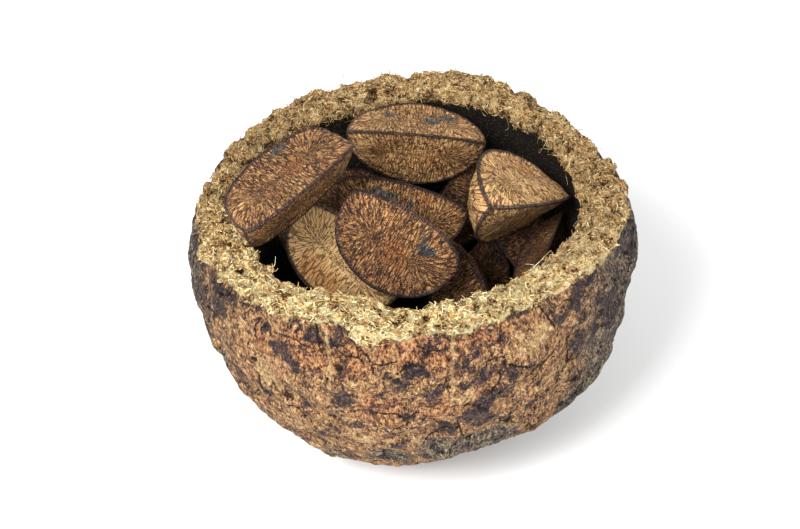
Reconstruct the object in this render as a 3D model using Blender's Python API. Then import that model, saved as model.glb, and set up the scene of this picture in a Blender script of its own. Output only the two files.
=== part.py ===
# Half of a Brazil nut pod with the nuts lying in it.
# Metres, +Z up. The origin is the centre of the flat spot that the pod rests on.
# The side seen in the usual view is -Y.

import math
import random

import bmesh
import bpy
from mathutils import Matrix, Vector, noise
from mathutils.bvhtree import BVHTree

MM = 0.001
SHARP = math.radians(38)      # faces that meet at more than this keep a crisp edge

# Pod: a thick woody wall between two near-spheres with one centre, broken open a little above the middle.
POD_RADIUS = 62.5 * MM
WALL = 13.5 * MM
# Where the wall is thinner near the edge: the angle from +X, how far that reaches round, and by how much.
THIN_WALL = {"turn": 47, "spread": 25, "amount": 2.2 * MM}
FLAT_CUT = 1.2 * MM
CENTRE = Vector((0.0, 0.0, POD_RADIUS - FLAT_CUT))
SHOULDER_DRAW = 0.9 * MM      # how far the wall draws in at the broken edge
POD_STEPS = 108               # divisions round the pod
OUTER_ROWS = 20
INNER_ROWS = 9
EDGE_ROWS = 5                 # rows across the broken edge
FIRST_RING = 7 * MM           # radius of the innermost ring at both poles

# Height of the broken edge over the pod's centre, by angle from +X, and how much lower its inside is.
EDGE_HEIGHTS = (
    (0, 16.5), (25, 14.5), (40, 14.5), (52, 13.5), (72, 18.5), (82, 19.5), (89, 17.0), (97, 17.5),
    (106, 15.0), (118, 14.5), (140, 11.5), (160, 9.0), (190, 10.5), (222, 13.0), (250, 17.0), (266, 15.0),
    (280, 16.5), (310, 18.0), (338, 17.5),
)
EDGE_FALL = 1.5 * MM
EDGE_ROUND = 1.6 * MM         # how far the broken face stands above a straight line across the wall

# Large bulges and hollows outside: the way they lie from the pod's centre, how wide, and how high.
LUMPS = (
    {"way": (-0.25, -0.58, -0.77), "width": 15 * MM, "height": 3.2 * MM},
    {"way": (-0.62, -0.48, -0.62), "width": 14 * MM, "height": 1.2 * MM},
    {"way": (0.24, -0.60, -0.77), "width": 14 * MM, "height": -3.0 * MM},
    {"way": (0.80, -0.37, -0.47), "width": 12 * MM, "height": 1.5 * MM},
    {"way": (0.98, 0.10, 0.15), "width": 16 * MM, "height": 1.0 * MM},
    {"way": (0.30, 0.75, -0.60), "width": 18 * MM, "height": -2.0 * MM},
    {"way": (-0.70, 0.60, -0.40), "width": 16 * MM, "height": 1.6 * MM},
)

# Pits in the outside, each one face wide, at random between these heights over the pod's centre.
PITS = {"count": 80, "seed": 11, "lowest": -50 * MM, "highest": 6 * MM, "depth": 1.6 * MM}

# Relief of the pod: broad dents, knobs on the outside, torn fibre on the broken edge.
DENT = {"size": 34 * MM, "depth": 1.3 * MM}
KNOB = {"size": 9 * MM, "depth": 1.0 * MM}
TEAR = {"size": 4.2 * MM, "depth": 1.5 * MM}
LINING = {"size": 12 * MM, "depth": 0.5 * MM}

# Nuts: three faces like a slice of orange, two flat flanks that meet at the keel and an arched back.
# Heights are shares of the nut's height, from its middle.
NUT_SIDES = 18                # a multiple of three, so that there are points along each ridge
NUT_RINGS = 12
NUT_KEEL = -0.28              # the keel where it is deepest, before the bow
NUT_CORNER = 0.48             # the two ridges beside the back
NUT_CROWN = 0.15              # how far the back arches over those ridges
NUT_BOW = 0.22                # how far the two ends sink towards the keel
NUT_BLUNT = 0.8               # under 1 makes the ends blunter than a sphere's, over 1 more pointed
NUT_DISH = 0.03               # hollow in the middle of each flank
NUT_LIP = 0.035               # how far each ridge stands out
NUT_WARP = {"size": 15 * MM, "depth": 0.55 * MM}
NUT_GAP = 0.2 * MM            # half the room that is left round a nut
NUT_REACH = 52 * MM           # nuts with their middles farther apart than this can't touch
EASE_STEP = 0.4 * MM          # how far two nuts that overlap are moved apart in one round
EASE_ROUNDS = 150             # more rounds than it takes until nothing overlaps
AIM = Vector((0.0, 0.0, 40 * MM))  # a nut in the wall is moved towards this point over the pod's centre

# Nuts on the floor of the pod stand round it like the slices of an orange.
FLOOR_NUTS = 4
FLOOR_TILT = math.radians(36)
FLOOR_REACH = 37.5            # from the pod's centre to a nut's middle
FLOOR_SIZE = (36, 20, 20)

# Every other nut, in mm: its middle, the way it points, the way its keel points, and its length, height and
# thickness, with how blunt its ends are where they aren't as on most. The nuts in plain sight have a small
# give, so they stay where they are put and the others make room.
UPPER_NUTS = (
    {"name": "nut_hidden_right", "at": (31, 20, 42), "long": (-0.4, 0.6, 0.3), "keel": (-0.7, -0.5, 0.4),
     "size": (34, 18, 17)},
    {"name": "nut_hidden_back", "at": (-24, 27, 50), "long": (0.8, 0.6, 0.1), "keel": (0.5, -0.7, 0.2),
     "size": (38, 21, 20)},
    {"name": "nut_hidden_left", "at": (-32, -21, 46), "long": (0.55, -0.8, 0.1), "keel": (0.8, 0.3, 0.4),
     "size": (34, 17, 16)},
    {"name": "nut_deep_right", "at": (26, -25, 46), "long": (0.8, 0.5, 0.1), "keel": (-0.5, 0.7, 0.5),
     "size": (34, 17, 16)},
    {"name": "nut_front_low", "at": (1, -29, 46), "long": (0.98, 0.1, -0.1), "keel": (0.1, 0.2, 0.95),
     "size": (38, 20, 19)},
    {"name": "nut_back_low", "at": (15, 30, 49), "long": (0.5, 0.3, 0.8), "keel": (-0.6, -0.7, 0.5),
     "size": (36, 20, 18)},
    {"name": "nut_front_left", "at": (-20.5, -1, 54), "long": (0.75, -0.4, -0.52),
     "keel": (0.55, -0.06, 0.83),
     "size": (38, 26, 19), "give": 0.1},
    {"name": "nut_front_right", "at": (12.5, -8, 50), "long": (0.55, -0.5, -0.66),
     "keel": (-0.81, -0.5, -0.28),
     "size": (30, 19, 16), "give": 0.2},
    {"name": "nut_right_wall", "at": (39, 1, 51), "long": (-0.3, -0.95, -0.03), "keel": (0.3, -0.1, 0.95),
     "size": (34, 15, 12), "give": 0.2},
    {"name": "nut_behind", "at": (-3.5, 14.5, 60.5), "long": (0.97, -0.15, -0.2), "keel": (0.18, -0.14, 0.97),
     "size": (38, 22, 19), "give": 0.1},
    {"name": "nut_front", "at": (-5.5, -14, 69), "long": (0.84, -0.34, -0.44), "keel": (0.47, 0.02, 0.88),
     "size": (36, 27, 20), "give": 0.05},
    {"name": "nut_back", "at": (1, 31.5, 73.5), "long": (0.99, 0.0, -0.1), "keel": (0.0, -0.74, 0.67),
     "size": (40, 25.5, 22.5), "blunt": 1.05, "give": 0.1},
    {"name": "nut_right", "at": (28.2, 8, 70), "long": (0.6, 0.7, -0.4), "keel": (0.82, -0.5, 0.25),
     "size": (37, 26.5, 26), "blunt": 1.1, "give": 0.05},
    {"name": "nut_left", "at": (-34.5, -6.8, 84.4), "long": (0.7, 0.64, 0.28), "keel": (0.44, -0.72, 0.53),
     "size": (39.5, 26, 20.5), "blunt": 0.5, "give": 0.05},
)


def clear_scene():
    for thing in list(bpy.data.objects):
        bpy.data.objects.remove(thing)


def make_material(name, colour, roughness):
    material = bpy.data.materials.new(name)
    material.use_nodes = True
    shader = material.node_tree.nodes["Principled BSDF"]
    shader.inputs["Base Color"].default_value = (*colour, 1.0)
    shader.inputs["Roughness"].default_value = roughness
    shader.inputs["Metallic"].default_value = 0.0
    return material


def make_object(name, bm, material):
    mesh = bpy.data.meshes.new(name)
    bm.to_mesh(mesh)
    bm.free()
    mesh.materials.append(material)
    mesh.shade_smooth()
    mesh.set_sharp_from_angle(angle=SHARP)
    thing = bpy.data.objects.new(name, mesh)
    bpy.context.scene.collection.objects.link(thing)
    return thing


def relief(place, form, seed=0.0):
    """Smooth noise of about plus or minus the form's depth, with bumps of about its size."""
    return form["depth"] * 1.6 * noise.noise(place / form["size"] + Vector((seed, -seed, seed * 0.5)))


def edge_height(angle):
    """Height of the broken edge over the pod's centre, smoothly through EDGE_HEIGHTS."""
    degrees = math.degrees(angle) % 360
    stops = EDGE_HEIGHTS + ((EDGE_HEIGHTS[0][0] + 360, EDGE_HEIGHTS[0][1]),)
    for (a, low), (b, high) in zip(stops, stops[1:]):
        if a <= degrees <= b:
            share = (degrees - a) / (b - a)
            share = share * share * (3 - 2 * share)
            return (low + (high - low) * share) * MM
    return stops[0][1] * MM


def smooth_step(value, low, high):
    share = min(1.0, max(0.0, (value - low) / (high - low)))
    return share * share * (3 - 2 * share)


def pod_point(angle, depth, climb):
    """A point of the pod's surface. depth is 0 outside, 1 inside; climb is 0 at the pole, 1 at the edge."""
    outline = Vector((math.cos(angle), math.sin(angle), 0.0))
    lip = edge_height(angle) - EDGE_FALL * depth + EDGE_ROUND * 4 * depth * (1 - depth)
    radius = POD_RADIUS - WALL * depth
    first = math.asin(FIRST_RING / radius)
    last = math.pi / 2 + math.asin(lip / radius)
    swing = first + (last - first) * climb
    place = CENTRE + outline * math.sin(swing) * radius + Vector((0, 0, -math.cos(swing) * radius))
    away = (place - CENTRE).normalized()

    shift = relief(place, DENT, 3.0)
    for lump in LUMPS:
        gap = (Vector(lump["way"]).normalized() - away).length * POD_RADIUS / lump["width"]
        shift += lump["height"] * math.exp(-gap * gap) * (1 - depth)
    above = smooth_step(place.z - CENTRE.z, 0.0, 16 * MM)
    round_gap = (math.degrees(angle) % 360 - THIN_WALL["turn"]) / THIN_WALL["spread"]
    thinner = THIN_WALL["amount"] * math.exp(-round_gap * round_gap)
    shift += thinner * depth * smooth_step(place.z - CENTRE.z, -12 * MM, 4 * MM)
    torn = smooth_step(climb, 0.93, 1.0)
    shift -= SHOULDER_DRAW * above * (1 - depth)
    shift += relief(place, KNOB, 11.0) * (1 - depth) + relief(place, LINING, 7.0) * depth * (1 - torn)
    place += away * shift
    tear = Vector((relief(place, TEAR, 5.0), relief(place, TEAR, 17.0), relief(place, TEAR, 29.0)))
    place += tear * torn
    place.z = max(place.z, 0.0)
    return place


def sink_pits(bm):
    """Pokes the outside face that lies nearest to each pit's place and pulls its middle in."""
    draw = random.Random(PITS["seed"])
    near = POD_RADIUS - WALL / 3
    outside = [face for face in bm.faces if (face.calc_center_median() - CENTRE).length > near]
    for _ in range(PITS["count"]):
        turn = draw.uniform(0, 2 * math.pi)
        height = draw.uniform(PITS["lowest"], PITS["highest"])
        reach = math.sqrt(POD_RADIUS ** 2 - height ** 2)
        place = CENTRE + Vector((math.cos(turn) * reach, math.sin(turn) * reach, height))
        nearest = min(outside, key=lambda face: (face.calc_center_median() - place).length)
        outside.remove(nearest)
        bmesh.ops.poke(bm, faces=[nearest], offset=-PITS["depth"])


def build_pod(material):
    """The wall's section, spun round +Z, then moved point by point onto the real pod."""
    stations = [(0.0, row / OUTER_ROWS) for row in range(OUTER_ROWS + 1)]
    stations += [(row / EDGE_ROWS, 1.0) for row in range(1, EDGE_ROWS)]
    stations += [(1.0, 1 - row / INNER_ROWS) for row in range(INNER_ROWS + 1)]

    bm = bmesh.new()
    depth_of = bm.verts.layers.float.new("depth")
    climb_of = bm.verts.layers.float.new("climb")
    section = []
    for index, (depth, climb) in enumerate(stations):
        point = bm.verts.new((POD_RADIUS, 0.0, index * MM))
        point[depth_of] = depth
        point[climb_of] = climb
        section.append(point)
    edges = [bm.edges.new(pair) for pair in zip(section, section[1:])]
    bmesh.ops.spin(
        bm, geom=section + edges, cent=(0, 0, 0), axis=(0, 0, 1), angle=2 * math.pi, steps=POD_STEPS,
        use_merge=True,
    )
    bmesh.ops.holes_fill(bm, edges=[edge for edge in bm.edges if edge.is_boundary], sides=0)
    for vert in bm.verts:
        vert.co = pod_point(math.atan2(vert.co.y, vert.co.x), vert[depth_of], vert[climb_of])
    for cap in [face for face in bm.faces if len(face.verts) > 4]:
        if cap.calc_center_median().z > WALL / 2:
            bmesh.ops.poke(bm, faces=[cap])
    bmesh.ops.recalc_face_normals(bm, faces=bm.faces[:])
    sink_pits(bm)
    bmesh.ops.triangulate(bm, faces=bm.faces[:])
    return make_object("pod_shell", bm, material)


def nut_point(unit, length, height, thickness, blunt, seed):
    """Moves a point of the unit sphere, poles on Z, onto a nut that lies along +X with its keel down."""
    along = unit.z
    taper = math.sqrt(max(0.0, 1 - along * along)) ** blunt
    turn = (math.atan2(unit.y, unit.x) / (2 * math.pi) + 0.5 / NUT_SIDES) % 1.0 * 3 + 1e-6
    side = int(turn) % 3
    share = turn - int(turn)

    corners = (
        Vector((0.0, NUT_KEEL * height)),
        Vector((thickness / 2, NUT_CORNER * height)),
        Vector((-thickness / 2, NUT_CORNER * height)),
    )
    start = corners[side]
    end = corners[(side + 1) % 3]
    outward = Vector((end.y - start.y, start.x - end.x)).normalized()
    middle = 4 * share * (1 - share)
    if side == 1:
        bulge = NUT_CROWN * height * middle
    else:
        bulge = NUT_DISH * height * middle * (1 - 2 * (1 - along * along) ** 2)
    spread = start.lerp(end, share) + outward * bulge
    if share < 0.01:
        spread *= 1 + NUT_LIP
    spread *= taper

    place = Vector((along * length / 2, spread.x, spread.y - NUT_BOW * height))
    place += place.normalized() * relief(place, NUT_WARP, seed) * taper
    return place


def pointing(long, keel):
    """Turns +X to the nut's length and -Z to its keel."""
    x_axis = Vector(long).normalized()
    down = Vector(keel)
    down = (down - x_axis * down.dot(x_axis)).normalized()
    z_axis = -down
    y_axis = z_axis.cross(x_axis)
    return Matrix((x_axis, y_axis, z_axis)).transposed().to_4x4()


def build_nut(name, size, blunt, seed, material):
    bm = bmesh.new()
    bmesh.ops.create_uvsphere(bm, u_segments=NUT_SIDES, v_segments=NUT_RINGS, radius=1.0)
    length, height, thickness = (side * MM for side in size)
    for vert in bm.verts:
        vert.co = nut_point(vert.co, length, height, thickness, blunt, seed)
    bmesh.ops.triangulate(bm, faces=bm.faces[:])
    bmesh.ops.recalc_face_normals(bm, faces=bm.faces[:])
    return make_object(name, bm, material)


def solid_tree(thing, place):
    """A search tree of the object's faces, a little swollen, with the object's origin at place."""
    turned = thing.matrix_world.to_3x3()
    points = [turned @ (vert.co + vert.normal * NUT_GAP) + place for vert in thing.data.vertices]
    return BVHTree.FromPolygons(points, [tuple(face.vertices) for face in thing.data.polygons])


def ease_apart(pod, nuts, gives):
    """Shifts nuts that overlap away from each other, and from the wall, until each one is clear.
    A nut with a small give stays nearer to where it was put."""
    places = [nut.matrix_world.translation.copy() for nut in nuts]
    wall = solid_tree(pod, Vector())
    for _ in range(EASE_ROUNDS):
        trees = [solid_tree(nut, place) for nut, place in zip(nuts, places)]
        shifts = [Vector() for _ in nuts]
        for first, place in enumerate(places):
            if trees[first].overlap(wall):
                shifts[first] += (CENTRE + AIM - place).normalized() * EASE_STEP * 1.5
            for second in range(first):
                apart = place - places[second]
                if apart.length > NUT_REACH or not trees[first].overlap(trees[second]):
                    continue
                push = apart.normalized() * EASE_STEP / (gives[first] + gives[second])
                shifts[first] += push * gives[first]
                shifts[second] -= push * gives[second]
        if not any(shift.length > 0 for shift in shifts):
            break
        places = [place + shift for place, shift in zip(places, shifts)]
    for nut, place in zip(nuts, places):
        nut.matrix_world.translation = place


def floor_nuts():
    for number in range(FLOOR_NUTS):
        around = 2 * math.pi * (number + 0.5) / FLOOR_NUTS
        outline = Vector((math.cos(around), math.sin(around), 0.0))
        out = outline * math.sin(FLOOR_TILT) - Vector((0, 0, math.cos(FLOOR_TILT)))
        uphill = outline * math.cos(FLOOR_TILT) + Vector((0, 0, math.sin(FLOOR_TILT)))
        middle = CENTRE / MM + out * FLOOR_REACH
        name = f"nut_floor_{number + 1}"
        yield {"name": name, "at": middle, "long": uphill, "keel": -out, "size": FLOOR_SIZE}


def main():
    clear_scene()
    husk = make_material("pod_husk", (0.36, 0.22, 0.11), 0.9)
    nut_shell = make_material("nut_shell", (0.30, 0.16, 0.09), 0.75)
    pod = build_pod(husk)
    plans = [*floor_nuts(), *UPPER_NUTS]
    nuts = []
    for number, plan in enumerate(plans):
        blunt = plan.get("blunt", NUT_BLUNT)
        nut = build_nut(plan["name"], plan["size"], blunt, 3.7 * (number + 1), nut_shell)
        nut.matrix_world = Matrix.Translation(Vector(plan["at"]) * MM) @ pointing(plan["long"], plan["keel"])
        nuts.append(nut)
    ease_apart(pod, nuts, [plan.get("give", 1.0) for plan in plans])


main()
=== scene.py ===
# Brazil nut pod: the broken shell with its torn rim, and the nuts that lie in it.
# Metres, +Z up. The usual view looks along +Y and down.

import math
import random

import bmesh
import bpy
from mathutils import Euler, Matrix, Vector, noise
from mathutils.bvhtree import BVHTree
from mathutils.kdtree import KDTree


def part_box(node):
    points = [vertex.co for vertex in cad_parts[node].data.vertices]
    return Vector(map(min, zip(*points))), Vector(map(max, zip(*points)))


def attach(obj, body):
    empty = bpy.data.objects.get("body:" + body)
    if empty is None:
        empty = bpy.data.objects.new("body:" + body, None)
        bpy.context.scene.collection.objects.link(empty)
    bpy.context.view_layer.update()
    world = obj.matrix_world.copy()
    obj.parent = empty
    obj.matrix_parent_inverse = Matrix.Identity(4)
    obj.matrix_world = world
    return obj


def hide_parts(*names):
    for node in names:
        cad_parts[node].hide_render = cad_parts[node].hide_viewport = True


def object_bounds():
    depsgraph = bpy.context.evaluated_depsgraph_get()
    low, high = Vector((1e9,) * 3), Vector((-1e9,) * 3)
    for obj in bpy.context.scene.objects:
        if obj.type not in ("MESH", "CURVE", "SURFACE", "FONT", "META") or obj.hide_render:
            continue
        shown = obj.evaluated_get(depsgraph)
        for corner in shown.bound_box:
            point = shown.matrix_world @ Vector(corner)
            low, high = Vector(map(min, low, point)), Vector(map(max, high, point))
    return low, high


mm = 0.001
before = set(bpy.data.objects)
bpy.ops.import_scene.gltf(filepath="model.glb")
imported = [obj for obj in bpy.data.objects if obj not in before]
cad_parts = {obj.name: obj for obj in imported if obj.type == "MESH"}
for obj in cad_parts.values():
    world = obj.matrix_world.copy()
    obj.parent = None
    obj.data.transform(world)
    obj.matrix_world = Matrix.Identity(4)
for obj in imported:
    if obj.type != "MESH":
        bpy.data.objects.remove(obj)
cadLow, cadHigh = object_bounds()
print("frame loaded")


# Camera

view = {
    "tilt": 38,                     # degrees above the horizon
    "distance": 0.6,                # from the pod's centre
    "lens": 95.38,
    "sensor": 36,
    "shift": (-0.015, -0.030625),
    "photoSize": (800, 529),
    "axisAt": (412, 240),           # the point of the photo that the lens points at
}
podCentre = Vector((0, 0, 61.3 * mm))


def makeCamera():
    tilt = math.radians(view["tilt"])
    lens = bpy.data.cameras.new("camera")
    lens.sensor_width = view["sensor"]
    lens.lens = view["lens"]
    lens.shift_x, lens.shift_y = view["shift"]
    lens.clip_start = 0.01
    camera = bpy.data.objects.new("camera", lens)
    camera.location = podCentre + Vector((0, -math.cos(tilt), math.sin(tilt))) * view["distance"]
    camera.rotation_euler = (math.pi / 2 - tilt, 0, 0)
    bpy.context.scene.collection.objects.link(camera)
    bpy.context.scene.camera = camera
    return camera


def photoHit(tree, x, y):
    # where the line of sight through a point of the photo meets a surface
    focal = view["lens"] / view["sensor"] * view["photoSize"][0]
    way = Vector(((x - view["axisAt"][0]) / focal, (view["axisAt"][1] - y) / focal, -1))
    way.rotate(Euler((math.pi / 2 - math.radians(view["tilt"]), 0, 0)))
    return tree.ray_cast(camera.location, way.normalized())[0]


camera = makeCamera()
print("camera placed")


# Helpers for meshes

def smoothStep(value, low, high):
    share = min(1.0, max(0.0, (value - low) / (high - low)))
    return share * share * (3 - 2 * share)


def relief(place, size, depth, seed=0.0):
    # smooth noise of about plus or minus the depth, with bumps of about that size
    return depth * 1.6 * noise.noise(place / size + Vector((seed, -seed, seed * 0.5)))


def insideBox(place, room=0.05 * mm):
    for axis in range(3):
        place[axis] = min(cadHigh[axis] - room, max(cadLow[axis] + room, place[axis]))
    place.z = max(place.z, 0.0)
    return place


def finishMesh(name, bm, material, nodes):
    mesh = bpy.data.meshes.new(name)
    bm.to_mesh(mesh)
    bm.free()
    return finishPiece(name, mesh, material, nodes)


def finishPiece(name, mesh, material, nodes=()):
    mesh.materials.clear()
    mesh.materials.append(material)
    mesh.shade_smooth()
    piece = bpy.data.objects.new(name, mesh)
    bpy.context.scene.collection.objects.link(piece)
    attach(piece, "root")
    if nodes:
        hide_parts(*nodes)
    return piece


# Helpers for materials

def tone(red, green, blue):
    # a colour as a picture editor gives it, 0 to 255
    def straight(value):
        value = value / 255
        return value / 12.92 if value <= 0.04045 else ((value + 0.055) / 1.055) ** 2.4
    return (straight(red), straight(green), straight(blue), 1.0)


def addNode(tree, kind, inputs=None, **settings):
    node = tree.nodes.new(kind)
    for key, value in settings.items():
        setattr(node, key, value)
    for key, value in (inputs or {}).items():
        if isinstance(value, bpy.types.NodeSocket):
            tree.links.new(value, node.inputs[key])
        else:
            node.inputs[key].default_value = value
    return node


def newMaterial(name):
    material = bpy.data.materials.new(name)
    material.use_nodes = True
    tree = material.node_tree
    shader = tree.nodes["Principled BSDF"]
    shader.inputs["Metallic"].default_value = 0.0
    place = addNode(tree, "ShaderNodeTexCoord").outputs["Object"]
    return material, tree, shader, place


def stretched(tree, place, scale):
    return addNode(tree, "ShaderNodeMapping", {"Vector": place, "Scale": scale}).outputs["Vector"]


def grain(tree, place, size, detail=4.0, rough=0.6, bend=0.0):
    # noise from 0 to 1, mostly near 0.5
    inputs = {"Vector": place, "Scale": 1 / size, "Detail": detail, "Roughness": rough, "Distortion": bend}
    return addNode(tree, "ShaderNodeTexNoise", inputs).outputs["Fac"]


def cells(tree, place, size):
    # how far a place is from the nearest border between cells of about that size, as a share of it
    inputs = {"Vector": place, "Scale": 1 / size}
    return addNode(tree, "ShaderNodeTexVoronoi", inputs, feature="DISTANCE_TO_EDGE").outputs["Distance"]


def maths(tree, kind, first, second=0.0):
    return addNode(tree, "ShaderNodeMath", {0: first, 1: second}, operation=kind).outputs[0]


def times(tree, first, second):
    return maths(tree, "MULTIPLY", first, second)


def plus(tree, first, second):
    return maths(tree, "ADD", first, second)


def minus(tree, first, second):
    return maths(tree, "SUBTRACT", first, second)


def bothWays(tree, value, size):
    # noise made to swing to both sides of 0
    return times(tree, minus(tree, value, 0.5), size)


def band(tree, value, low, high):
    # 0 at low, 1 at high and a soft turn between them
    inputs = {"Value": value, "From Min": low, "From Max": high}
    return addNode(tree, "ShaderNodeMapRange", inputs, interpolation_type="SMOOTHSTEP").outputs["Result"]


def addWobble(tree, place, size, amount):
    # moves the place about by noise, so that what is drawn there runs unevenly
    inputs = {"Vector": place, "Scale": 1 / size, "Detail": 2.0}
    colour = addNode(tree, "ShaderNodeTexNoise", inputs).outputs["Color"]
    kind = "ShaderNodeVectorMath"
    middle = addNode(tree, kind, {0: colour, 1: (0.5, 0.5, 0.5)}, operation="SUBTRACT").outputs[0]
    scaled = addNode(tree, kind, {0: middle, "Scale": amount}, operation="SCALE").outputs[0]
    return addNode(tree, kind, {0: place, 1: scaled}, operation="ADD").outputs[0]


def mixColour(tree, share, first, second):
    return addNode(tree, "ShaderNodeMix", {0: share, 6: first, 7: second}, data_type="RGBA").outputs[2]


def ramp(tree, value, stops):
    # each stop is a place on the ramp and its red, green and blue
    node = addNode(tree, "ShaderNodeValToRGB", {"Fac": value})
    points = node.color_ramp.elements
    while len(points) < len(stops):
        points.new(0.5)
    for point, (at, *colour) in zip(points, stops):
        point.position = at
        point.color = tone(*colour)
    return node.outputs["Color"]


def measured(tree, name, output="Fac"):
    # a value that the mesh has for each of its points
    return addNode(tree, "ShaderNodeAttribute", attribute_name=name).outputs[output]


def setBump(tree, shader, height, distance):
    bump = addNode(tree, "ShaderNodeBump", {"Height": height, "Distance": distance, "Strength": 1.0})
    tree.links.new(bump.outputs["Normal"], shader.inputs["Normal"])


# Pod: the same wall as in the frame, with its fine surface

pod = {
    "radius": 62.5 * mm,
    "wall": 13.5 * mm,
    "shoulderDraw": 0.9 * mm,       # how far the wall draws in at the broken edge
    "edgeFall": 1.5 * mm,
    # where the wall is thinner near its edge: degrees round from +X, how far that reaches and by how much
    "thinWall": ((47, 25, 2.2 * mm), (130, 26, 3.0 * mm)),
    "edgeRound": 1.6 * mm,
    "firstRing": 7 * mm,
    # bumps, each with its size, its height and its seed; the tear has one seed for each axis
    "swell": (34 * mm, 1.3 * mm, 3.0),
    "outerBumps": (9 * mm, 1.0 * mm, 11.0),
    "innerBumps": (12 * mm, 0.5 * mm, 7.0),
    "tear": (4.2 * mm, 1.1 * mm),
    "tearSeeds": (5.0, 17.0, 29.0),
    "steps": 420,
    "outerRows": 165,
    "edgeRows": 30,
    "innerRows": 30,
    # height of the broken edge over the pod's centre in mm, by degrees round from +X
    "edgeHeights": (
        (0, 16.5), (25, 14.5), (40, 14.5), (52, 13.5), (72, 18.5), (82, 19.5), (89, 17.0), (97, 17.5),
        (106, 15.0), (118, 14.5), (140, 11.5), (160, 9.0), (190, 10.5), (222, 13.0), (250, 17.0), (266, 15.0),
        (280, 16.5), (310, 18.0), (338, 17.5), (360, 16.5),
    ),
    # large bulges and hollows: the way they lie from the centre, width and height
    "lumps": (
        ((-0.25, -0.58, -0.77), 15 * mm, 3.2 * mm),
        ((-0.62, -0.48, -0.62), 14 * mm, 1.2 * mm),
        ((0.24, -0.60, -0.77), 14 * mm, -3.0 * mm),
        ((0.80, -0.37, -0.47), 12 * mm, 1.5 * mm),
        ((0.98, 0.10, 0.15), 16 * mm, 1.0 * mm),
        ((0.30, 0.75, -0.60), 18 * mm, -2.0 * mm),
        ((-0.70, 0.60, -0.40), 16 * mm, 1.6 * mm),
    ),
}

# What can be seen on the outside from the front: spots by their point in the photo and their reach there in
# pixels, then lines by their points. The spill is torn fibre that hangs over onto the outside.
frontSpots = {
    "skin": (
        (197, 250, 5), (203, 262, 7), (212, 278, 8), (228, 292, 7), (246, 303, 5), (258, 309, 4),
        (220, 290, 8), (235, 299, 8), (216, 306, 8), (225, 312, 6), (203, 300, 8), (266, 327, 5),
        (289, 324, 6), (316, 334, 7), (310, 338, 5), (281, 350, 7), (289, 357, 9), (295, 368, 6),
        (346, 403, 10), (340, 398, 8), (383, 394, 9), (335, 430, 7), (308, 402, 5), (395, 448, 9),
        (239, 370, 7), (388, 375, 6), (402, 382, 7), (413, 370, 7), (370, 410, 5), (332, 343, 5),
        (360, 425, 5), (403, 418, 6), (619, 243, 7), (590, 281, 9), (577, 286, 7), (573, 302, 8),
        (510, 316, 7), (529, 308, 7), (492, 320, 6), (582, 317, 8), (575, 343, 11), (593, 329, 9),
        (613, 290, 8), (477, 352, 8), (429, 348, 7), (417, 372, 9), (466, 385, 9), (486, 377, 8),
        (513, 374, 8), (531, 368, 7), (437, 391, 10), (433, 404, 7), (480, 409, 8), (468, 414, 8),
        (446, 428, 8), (488, 418, 6), (539, 382, 6), (530, 403, 6), (606, 305, 7), (560, 318, 6),
        (340, 330, 4), (322, 317, 4), (245, 318, 5), (236, 325, 5), (596, 300, 7), (548, 345, 6),
        (425, 440, 6),
    ),
    "pale": (
        (272, 380, 16), (262, 362, 10), (300, 425, 12), (315, 445, 10), (228, 330, 5), (226, 322, 4),
        (530, 345, 12), (330, 370, 7), (350, 385, 6), (552, 375, 9), (464, 400, 9), (545, 330, 9),
        (418, 440, 10), (365, 440, 10),
    ),
    "rust": (
        (300, 350, 22), (345, 365, 20), (400, 350, 20), (440, 360, 16), (470, 340, 14), (380, 410, 22),
        (440, 405, 16), (500, 335, 12), (265, 345, 14), (330, 320, 12), (485, 395, 12),
    ),
    "grey": (
        (194, 262, 9), (194, 285, 9), (198, 310, 10), (206, 335, 10), (225, 358, 9), (622, 262, 12),
        (440, 456, 14), (335, 452, 9), (400, 458, 10), (605, 340, 20), (580, 390, 24), (545, 425, 24),
        (490, 440, 26), (440, 445, 20), (622, 230, 10), (385, 455, 16),
    ),
    "spill": (
        (352, 334, 7), (360, 338, 7), (368, 340, 8), (377, 338, 7), (384, 331, 6), (366, 330, 7),
        (356, 326, 6), (330, 322, 5), (398, 332, 5),
    ),
    "pits": (
        (288.5, 320.5, 5.0), (266, 327, 3.4), (300.5, 386.5, 3.2), (308, 402, 4.2), (305, 418, 4.0),
        (470, 336, 3.4),
        (460, 397, 3.0), (469, 404, 3.2), (463, 407, 2.4), (596, 337, 5.0), (617, 261, 5.0), (355, 379, 3.0),
        (361, 399, 3.2), (413, 366, 3.0), (257, 362, 2.8), (318, 356, 2.4), (387, 346, 2.6), (494, 300, 2.6),
        (533, 340, 2.6), (458, 372, 2.8), (396, 95, 4.0),
    ),
}
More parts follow.
